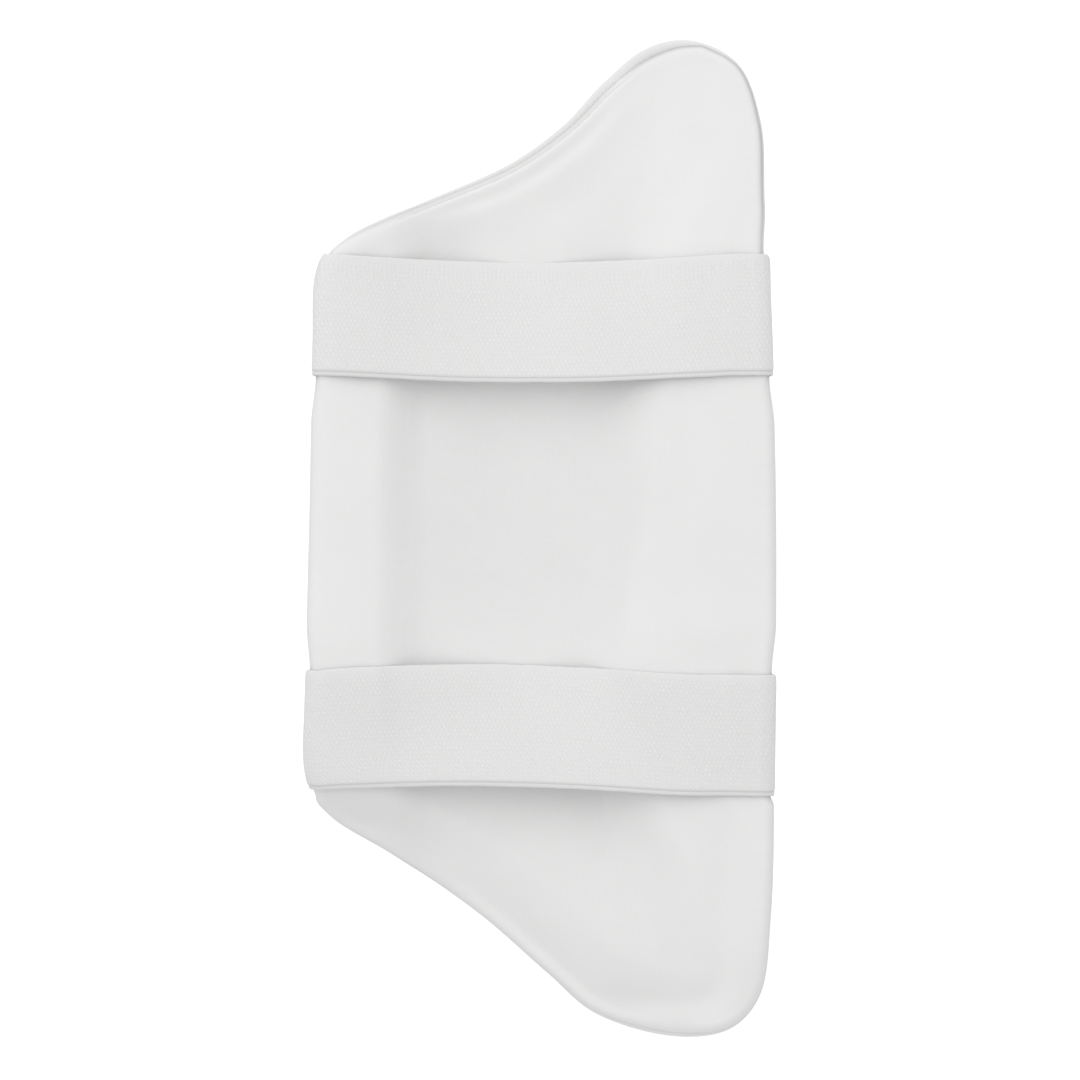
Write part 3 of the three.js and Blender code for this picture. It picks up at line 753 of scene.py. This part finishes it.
edge_offsets = SELVEDGE[:, 0] - STRAP_WIDTH / 2
inside = np.linspace(edge_offsets[-1], -edge_offsets[-1], 29)[1:-1]
offsets = np.concatenate([edge_offsets, inside, -edge_offsets[::-1]])
strap_pieces = {}
for strap, up in STRAP_AT.items():
    inner, outer, along = band(
        strap, offsets, lambda length: 0, lambda length: length + LAP_LENGTH, STRAP_STEPS,
        lambda along, length: (lap_lift(along, length), lap_lift(along, length) + STRAP_THICK),
    )
    distance, low_side, high_side = SELVEDGE.T
    thin = np.interp(STRAP_WIDTH / 2 + offsets, distance, low_side)
    thin = np.minimum(thin, np.interp(STRAP_WIDTH / 2 - offsets, distance, high_side)) / STRAP_THICK
    outer = inner + (outer - inner) * thin[None, :, None]
    at_edge = np.abs(offsets / (STRAP_WIDTH / 2))[None] ** EDGE_POWER * np.sign(offsets)[None]
    wave = EDGE_WAVER * np.sin(along / 9.3 + up) + EDGE_RIPPLE * np.sin(along / 3.1 + 2 * up)
    wave = wave + EDGE_RIPPLE * np.sin(along * np.pi)
    for face in (inner, outer):
        face[..., 1] += wave * at_edge
    piece = cloth_object(f"{strap}_elastic_strap", *walled(inner, outer))
    weave = piece.data.uv_layers.new(name="weave")
    spread = np.broadcast_to(offsets + STRAP_WIDTH / 2, along.shape)
    place = np.tile(np.stack([spread, along], -1).reshape(-1, 2), (2, 1))
    corners = np.empty(len(piece.data.loops), int)
    piece.data.loops.foreach_get("vertex_index", corners)
    weave.uv.foreach_set("vector", place[corners].astype(np.float32).ravel())
    piece.data.materials.append(elastic)
    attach(piece, "root")
    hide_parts(f"{strap}_strap")
    strap_pieces[strap] = piece, float(along.max())

# Hook tabs: a patch of white hook tape between the lapped ends of each strap, sewn to the outer end
# and pressed on to the inner one. Its corners are cut round.

HOOK_DULL, HOOK_BRIGHT = (0.64, 0.64, 0.62), (0.74, 0.74, 0.72)
HOOK_ACROSS, HOOK_ALONG, TAB_CORNER = 1.3, 1.1, 4
hook_tape, tree, shader = new_material("hook_tape", {"Roughness": 0.6})
place = Wire.node(tree, "ShaderNodeTexCoord", output="Object")
x, y = (Wire.node(tree, "ShaderNodeSeparateXYZ", {}, {0: place}, axis) for axis in "XY")
hook_columns = 1 - abs((x / (HOOK_ACROSS * MM)).fraction() * 2 - 1)
hook_rows = 1 - abs((y / (HOOK_ALONG * MM)).fraction() * 2 - 1)
hooks = hook_columns * hook_rows
tone = (hooks + patchy(tree, 20) * 0.4).clipped()
cloth_look(tree, shader, tone, HOOK_DULL, HOOK_BRIGHT, hooks, strength=0.6, depth=0.4)

tab_from = (LAP_LENGTH - TAB_LENGTH) / 2
low_lift = STRAP_GAP + STRAP_THICK + TAB_GAP
for strap in STRAP_AT:
    inner, outer, along = band(
        strap, np.linspace(-TAB_WIDTH / 2, TAB_WIDTH / 2, TAB_ROWS), lambda length: tab_from,
        lambda length: tab_from + TAB_LENGTH, TAB_STEPS,
        lambda along, length: (along * 0 + low_lift, along * 0 + low_lift + TAB_THICK),
    )
    middle = (inner[:, :1, 1] + inner[:, -1:, 1]) / 2
    from_end = np.minimum(along - tab_from, tab_from + TAB_LENGTH - along)
    into = np.clip(TAB_CORNER - from_end, 0, TAB_CORNER)
    cut = TAB_CORNER - np.sqrt(TAB_CORNER * TAB_CORNER - into * into)
    narrowed = 1 - cut / (TAB_WIDTH / 2)
    for face in (inner, outer):
        face[..., 1] = middle + (face[..., 1] - middle) * narrowed
    tab = cloth_object(f"{strap}_hook_patch", *walled(inner, outer))
    tab.data.materials.append(hook_tape)
    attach(tab, "root")
    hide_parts(f"{strap}_hook_tab")
    piece, length = strap_pieces[strap]

# Table, light and camera: a white table seen from straight above, under a broad soft light from
# the top left and a white room.

TABLE_HALF = 3
# In metres: the camera's height, and how wide the picture is at the height of the pad's wings.
CAMERA_UP, WINGS_UP, PICTURE_WIDTH, SENSOR = 1.6, 0.034, 0.446, 36
floor_mesh = bpy.data.meshes.new("table")
corners = [(x * TABLE_HALF, y * TABLE_HALF, 0) for x, y in ((-1, -1), (1, -1), (1, 1), (-1, 1))]
floor_mesh.from_pydata(corners, [], [(0, 1, 2, 3)])
table = bpy.data.objects.new("table", floor_mesh)
bpy.context.collection.objects.link(table)
white_top, tree, shader = new_material("white_table", {
    "Base Color": (0.9, 0.9, 0.9, 1), "Roughness": 0.9,
    "Emission Color": (1, 1, 1, 1), "Emission Strength": 0.45,
})
floor_mesh.materials.append(white_top)
table.visible_diffuse = False

camera = bpy.data.objects.new("camera", bpy.data.cameras.new("camera"))
bpy.context.collection.objects.link(camera)
camera.data.sensor_fit = "HORIZONTAL"
camera.data.sensor_width = SENSOR
camera.location = (0, 0, CAMERA_UP)
camera.data.lens = SENSOR * (CAMERA_UP - WINGS_UP) / PICTURE_WIDTH
bpy.context.scene.camera = camera

key = bpy.data.objects.new("key", bpy.data.lights.new("key", "AREA"))
bpy.context.collection.objects.link(key)
key.location = (-0.55, 1.38, 1.5)
key.rotation_euler = (-0.72, -0.26, 0.15)
key.data.size = 3.4
key.data.energy = 20
world = bpy.data.worlds.new("room")
bpy.context.scene.world = world
world.use_nodes = True
room = world.node_tree.nodes["Background"]
room.inputs["Color"].default_value = (1, 1, 1, 1)
room.inputs["Strength"].default_value = 0.752
bpy.context.scene.view_settings.view_transform = "Standard"
